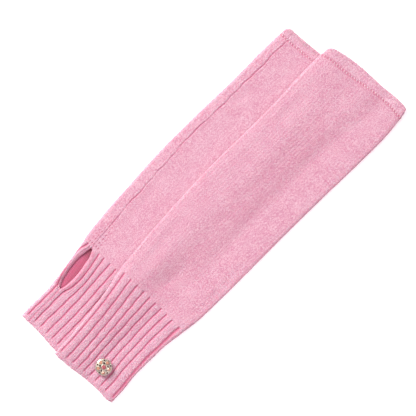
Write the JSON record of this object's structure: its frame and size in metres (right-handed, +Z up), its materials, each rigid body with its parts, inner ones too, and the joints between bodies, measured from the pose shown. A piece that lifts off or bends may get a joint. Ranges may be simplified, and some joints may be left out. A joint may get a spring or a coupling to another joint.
{
  "type": "pair of knitted arm warmers",
  "caption": "Pair of long knitted arm warmers laid flat, one over the other, with ribbed hand ends, a thumb slit, linked elbow bands and a jewelled button.",
  "frame": {"origin": "on the surface the pair lies on, under the middle of its bounding box", "axes": "+Y along the warmers from the hand edges to the elbow edges, +X across from the under warmer to the upper one, +Z up from the surface"},
  "size_m": [0.1533, 0.4209, 0.0119],
  "materials": {
    "under_knit": "soft knitted yarn, matt, slightly hairy",
    "upper_knit": "soft knitted yarn, matt, slightly hairy",
    "pale_metal": "cast and plated, bright, slightly worn",
    "rose_stone": "faceted, foil-backed",
    "peach_stone": "faceted, foil-backed"
  },
  "bodies": {
    "root": {"under_hand_rib": "under_knit", "under_arm_tube": "under_knit", "under_elbow_band": "under_knit", "upper_hand_rib": "upper_knit", "upper_arm_tube": "upper_knit", "upper_elbow_band": "upper_knit", "button_frame": "pale_metal", "button_centre_stone": "rose_stone", "button_petal_stone_1": "peach_stone", "button_petal_stone_2": "peach_stone", "button_petal_stone_3": "peach_stone", "button_petal_stone_4": "peach_stone", "button_petal_stone_5": "peach_stone"}
  },
  "joints": []
}
